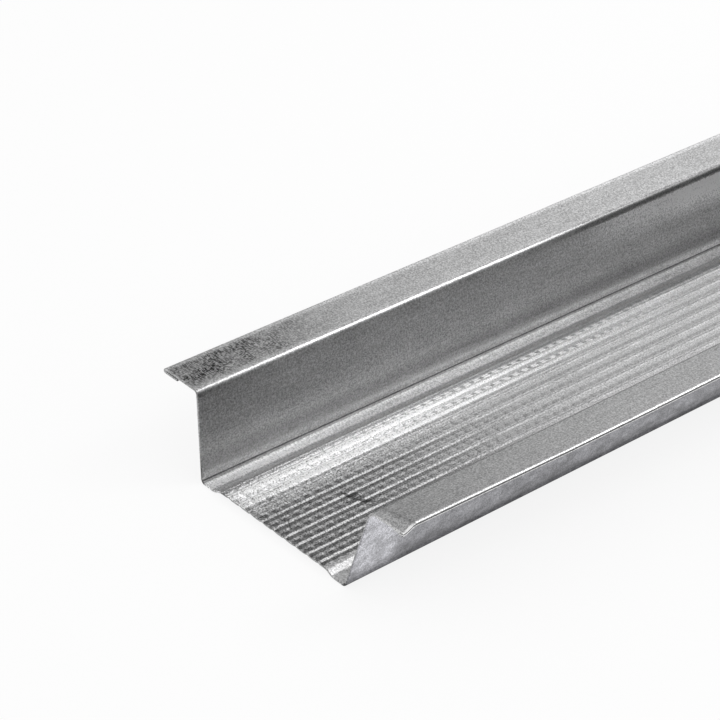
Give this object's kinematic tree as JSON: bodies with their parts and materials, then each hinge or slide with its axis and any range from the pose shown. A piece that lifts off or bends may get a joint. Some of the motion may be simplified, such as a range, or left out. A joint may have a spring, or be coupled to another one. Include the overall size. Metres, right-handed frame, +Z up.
{
  "type": "hat channel",
  "caption": "Roll-formed hat channel with a ribbed, stepped crown, splayed legs and hemmed flanges, for fixing board to walls and ceilings.",
  "frame": {"origin": "mid length, midway between the flange edges, on the underside of the crown's feet", "axes": "+Y along the length, +X across towards the slightly tilted flange, +Z up from the crown to the flanges"},
  "size_m": [0.085, 2.4, 0.0269],
  "materials": {
    "galvanised_steel": "hot-dip galvanised, satin, with a fine knurl on the crown"
  },
  "bodies": {
    "root": {"hat_channel": "galvanised_steel"}
  },
  "joints": []
}
